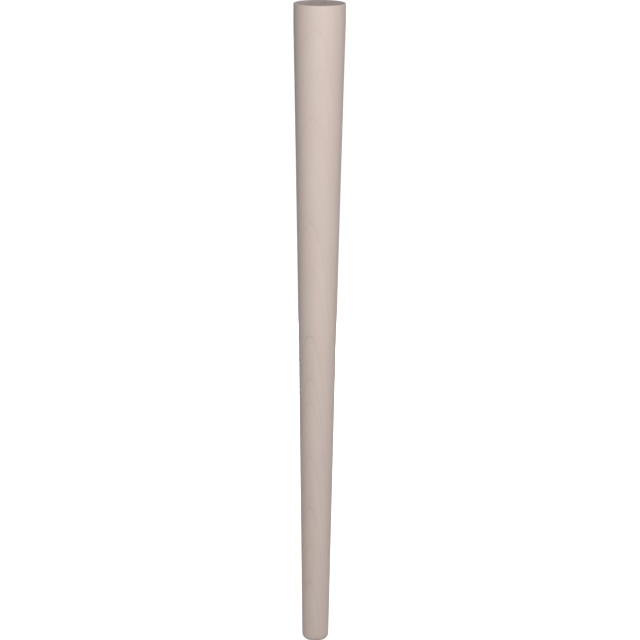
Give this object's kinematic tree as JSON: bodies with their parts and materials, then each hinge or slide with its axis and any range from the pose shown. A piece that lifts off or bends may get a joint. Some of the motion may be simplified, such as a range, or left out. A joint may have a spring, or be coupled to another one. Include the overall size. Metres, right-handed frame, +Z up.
{
  "type": "furniture leg",
  "caption": "Plain round wooden furniture leg, parallel at the head and tapering slimly to a rounded foot, with a threaded insert in its top end.",
  "frame": {"origin": "centre of the foot's flat end, where it stands on the floor", "axes": "+Z up along the leg's axis, from the foot to the top face; X and Y are across the round section and interchangeable"},
  "size_m": [0.056, 0.056, 0.71],
  "materials": {
    "leg_wood": "raw pale hardwood, finely sanded, matt",
    "insert_metal": "zinc-plated, dull"
  },
  "bodies": {
    "root": {"turned_leg": "leg_wood", "threaded_insert": "insert_metal"}
  },
  "joints": []
}
